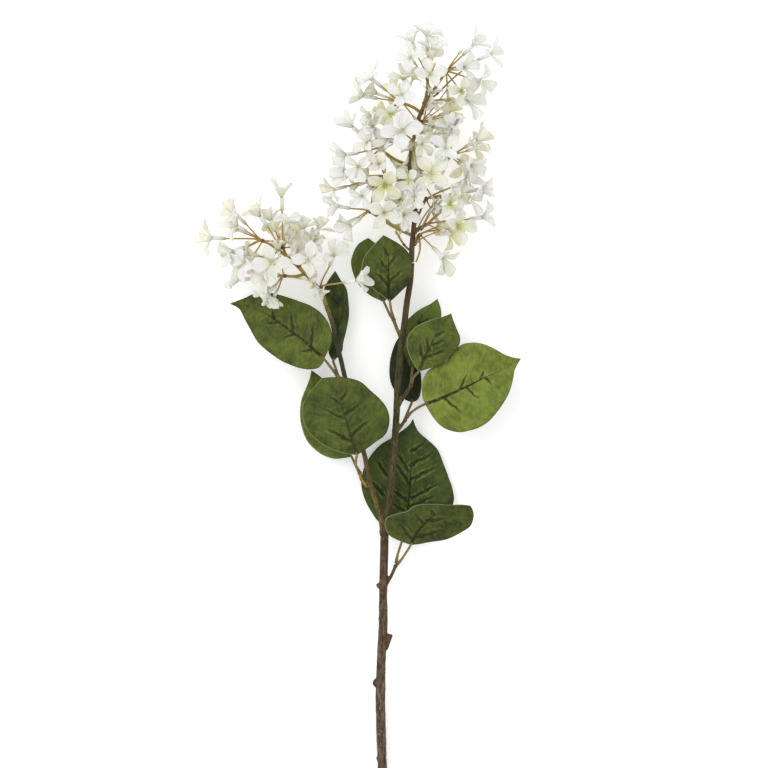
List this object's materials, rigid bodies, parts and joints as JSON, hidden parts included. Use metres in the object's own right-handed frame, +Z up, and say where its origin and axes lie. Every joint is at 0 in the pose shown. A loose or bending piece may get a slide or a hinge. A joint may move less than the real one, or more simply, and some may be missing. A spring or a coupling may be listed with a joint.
{
  "type": "lilac stem",
  "caption": "Cut lilac stem lying down: a forked woody stem with paired oval leaves and a large and a small head of white florets.",
  "frame": {"origin": "centre of the bounding box's bottom face, on the surface that the stem lies on", "axes": "+Y along the stem from its cut end to the flower heads, +Z up from the surface, +X to the right as seen from above"},
  "size_m": [0.21, 0.5066, 0.0688],
  "materials": {
    "bark": "grey-brown mottled bark with fine upright streaks and small knots",
    "petals": "matt white petals, cream and pale green towards the throat, on golden-brown stalks",
    "leaf": "soft matt olive-green leaf with darker pressed veins",
    "leaf_dark": "soft matt dark green leaf with darker pressed veins"
  },
  "bodies": {
    "root": {"woody_stem": "bark", "main_panicle": "petals", "side_panicle": "petals", "leaf_fork_front": "leaf", "leaf_fork_back": "leaf_dark", "leaf_left_front": "leaf", "leaf_left_back": "leaf_dark", "leaf_outer_front": "leaf", "leaf_outer_back": "leaf_dark", "leaf_low_front": "leaf", "leaf_low_back": "leaf_dark", "leaf_mid_front": "leaf", "leaf_mid_back": "leaf_dark", "leaf_high_front": "leaf", "leaf_high_back": "leaf_dark"}
  },
  "joints": []
}
